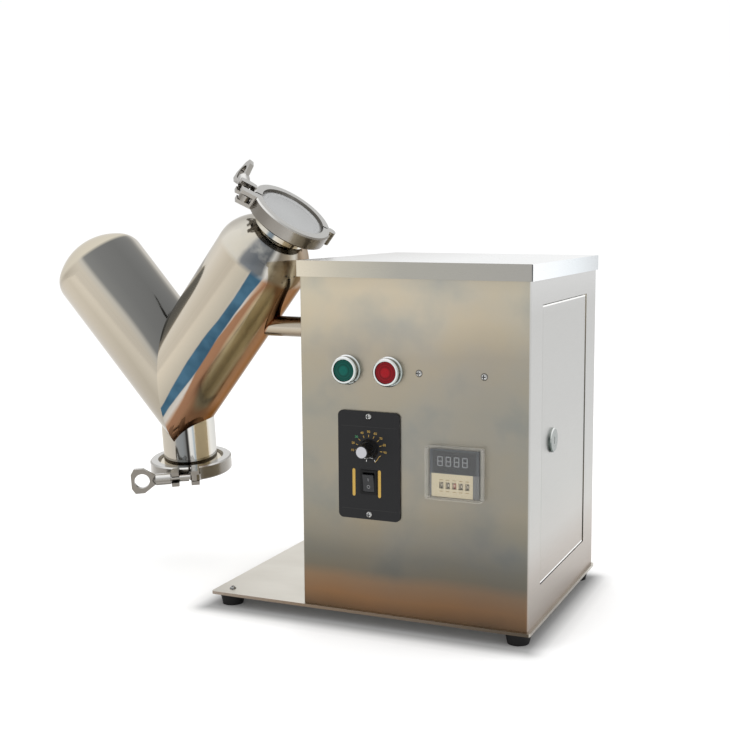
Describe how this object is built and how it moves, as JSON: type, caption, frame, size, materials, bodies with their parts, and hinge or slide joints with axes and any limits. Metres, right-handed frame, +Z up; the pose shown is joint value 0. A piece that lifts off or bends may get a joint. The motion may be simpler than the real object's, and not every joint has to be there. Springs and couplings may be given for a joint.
{
  "type": "v-blender",
  "caption": "Benchtop V-shaped mixing drum on a horizontal drive shaft, with clamped ports, a sheet-steel drive cabinet with controls and a door, and a footed base plate.",
  "frame": {"origin": "on the bench, under the middle of the whole part", "axes": "+Z up, +X towards the cabinet side with the door, -Y towards the front panel with the controls"},
  "size_m": [0.5972, 0.2583, 0.4574],
  "materials": {
    "brushed_panel": "brushed stainless sheet",
    "door_sheet": "finely brushed stainless sheet",
    "plate_steel": "satin stainless plate",
    "rubber_black": "matt black rubber",
    "screw_chrome": "bright plated screws",
    "lock_chrome": "polished chrome",
    "bezel_chrome": "bright chrome rings",
    "lens_green": "dark green translucent plastic",
    "lens_red": "deep red translucent plastic",
    "black_plastic": "black moulded plastic",
    "plate_black": "near-black enamel with gold marks",
    "knob_black": "black fluted plastic with a silver cap",
    "rocker_black": "black plastic with white marks",
    "timer_cream": "cream moulded plastic",
    "display_dark": "dark display pane",
    "cover_clear": "clear plastic",
    "pin_brass": "brass contact pins",
    "cast_grey": "grey painted castings",
    "bearing_steel": "ground bearing steel",
    "stand_steel": "folded steel",
    "motor_grey": "dark grey painted motor",
    "bolt_black": "blackened steel bolts",
    "capacitor_shell": "dark plastic case",
    "shaft_steel": "turned stainless steel",
    "drum_mirror": "mirror-polished stainless steel",
    "port_polish": "polished stainless steel",
    "gasket_white": "white silicone rubber",
    "lid_satin": "satin stainless steel",
    "clamp_cast": "satin cast stainless steel",
    "clamp_bright": "bright turned stainless steel"
  },
  "bodies": {
    "cabinet": {"base_plate": "plate_steel", "rubber_feet": "rubber_black", "base_screws": "screw_chrome", "cabinet_shell": "brushed_panel", "back_panel": "brushed_panel", "top_cover": "brushed_panel", "casing_screws": "screw_chrome", "door_hinge_pins": "screw_chrome", "start_button_ring": "bezel_chrome", "stop_button_ring": "bezel_chrome", "button_lock_nuts": "black_plastic", "button_contact_blocks": "black_plastic", "terminal_strip": "timer_cream", "panel_screws": "screw_chrome", "controller_body": "black_plastic", "controller_plate": "plate_black", "switch_housing": "black_plastic", "timer_body": "timer_cream", "timer_display": "display_dark", "timer_cover": "cover_clear", "power_inlet": "black_plastic", "inlet_pins": "pin_brass", "bearing_housing": "cast_grey", "shaft_bearings": "bearing_steel", "motor_stand": "stand_steel", "motor": "motor_grey", "gearhead": "cast_grey", "drive_bolts": "bolt_black", "run_capacitor": "capacitor_shell"},
    "drum": {"drive_shaft": "shaft_steel", "shaft_coupling": "shaft_steel", "output_shaft": "shaft_steel", "left_leg": "drum_mirror", "right_leg": "drum_mirror", "charging_port": "port_polish", "discharge_port": "port_polish", "port_gaskets": "gasket_white", "charging_lid": "lid_satin", "discharge_cap": "lid_satin", "charge_clamp_pivot_half": "clamp_cast", "charge_clamp_slot_half": "clamp_cast", "discharge_clamp_pivot_half": "clamp_cast", "discharge_clamp_slot_half": "clamp_cast", "clamp_pins": "clamp_bright"},
    "start_button": {"start_button_lens": "lens_green"},
    "stop_button": {"stop_button_lens": "lens_red"},
    "knob": {"speed_knob": "knob_black"},
    "rocker": {"switch_rocker": "rocker_black"},
    "door": {"side_door": "door_sheet", "door_lock_body": "lock_chrome"},
    "lock_cam": {"door_lock_cam": "lock_chrome"},
    "charge_bolt": {"charge_clamp_bolt": "clamp_bright"},
    "charge_nut": {"charge_clamp_nut": "clamp_cast"},
    "discharge_bolt": {"discharge_clamp_bolt": "clamp_bright"},
    "discharge_nut": {"discharge_clamp_nut": "clamp_cast"},
    "wheel_1": {"timer_wheel_1": "timer_cream"},
    "wheel_2": {"timer_wheel_2": "timer_cream"},
    "wheel_3": {"timer_wheel_3": "timer_cream"},
    "wheel_4": {"timer_wheel_4": "timer_cream"},
    "wheel_5": {"timer_wheel_5": "timer_cream"}
  },
  "joints": [
    {"name": "drum_spin", "type": "hinge", "parent": "cabinet", "child": "drum", "pos_m": [-0.1534, 0.00675, 0.2777], "axis": [1, 0, 0], "continuous": true},
    {"name": "start_press", "type": "slide", "parent": "cabinet", "child": "start_button", "axis": [0, 1, 0], "range_m": [0, 0.003], "stiffness_N_per_m": 400},
    {"name": "stop_press", "type": "slide", "parent": "cabinet", "child": "stop_button", "axis": [0, 1, 0], "range_m": [0, 0.003], "stiffness_N_per_m": 400},
    {"name": "knob_turn", "type": "hinge", "parent": "cabinet", "child": "knob", "pos_m": [0.13659, -0.11075, 0.176], "axis": [0, -1, 0], "range_deg": [0, 285]},
    {"name": "rocker_tilt", "type": "hinge", "parent": "cabinet", "child": "rocker", "pos_m": [0.13659, -0.10925, 0.144], "axis": [-1, 0, 0], "range_deg": [0, 16]},
    {"name": "door_swing", "type": "hinge", "parent": "cabinet", "child": "door", "pos_m": [0.2926, 0.08295, 0.183], "axis": [0, 0, 1], "range_deg": [0, 95]},
    {"name": "lock_turn", "type": "hinge", "parent": "door", "child": "lock_cam", "pos_m": [0.2956, -0.03725, 0.183], "axis": [-1, 0, 0], "range_deg": [0, 90]},
    {"name": "charge_bolt_swing", "type": "hinge", "parent": "drum", "child": "charge_bolt", "pos_m": [-0.03536, -0.04448, 0.41651], "axis": [0.6293, -0.0745, 0.7736], "range_deg": [0, 95]},
    {"name": "charge_nut_turn", "type": "hinge", "parent": "charge_bolt", "child": "charge_nut", "pos_m": [-0.0529, -0.01603, 0.43352], "axis": [-0.4677, 0.7587, 0.4535], "continuous": true},
    {"name": "discharge_bolt_swing", "type": "hinge", "parent": "drum", "child": "discharge_bolt", "pos_m": [-0.12002, -0.02008, 0.10835], "axis": [0, -0.0958, 0.9954], "range_deg": [0, 95]},
    {"name": "discharge_nut_turn", "type": "hinge", "parent": "discharge_bolt", "child": "discharge_nut", "pos_m": [-0.15216, -0.03931, 0.1065], "axis": [-0.8572, -0.5127, -0.0494], "continuous": true},
    {"name": "timer_wheel_1_turn", "type": "hinge", "parent": "cabinet", "child": "wheel_1", "pos_m": [0.2122, -0.10755, 0.1484], "axis": [1, 0, 0], "continuous": true},
    {"name": "timer_wheel_2_turn", "type": "hinge", "parent": "cabinet", "child": "wheel_2", "pos_m": [0.21865, -0.10755, 0.1484], "axis": [1, 0, 0], "continuous": true},
    {"name": "timer_wheel_3_turn", "type": "hinge", "parent": "cabinet", "child": "wheel_3", "pos_m": [0.2251, -0.10755, 0.1484], "axis": [1, 0, 0], "continuous": true},
    {"name": "timer_wheel_4_turn", "type": "hinge", "parent": "cabinet", "child": "wheel_4", "pos_m": [0.23155, -0.10755, 0.1484], "axis": [1, 0, 0], "continuous": true},
    {"name": "timer_wheel_5_turn", "type": "hinge", "parent": "cabinet", "child": "wheel_5", "pos_m": [0.238, -0.10755, 0.1484], "axis": [1, 0, 0], "continuous": true}
  ]
}
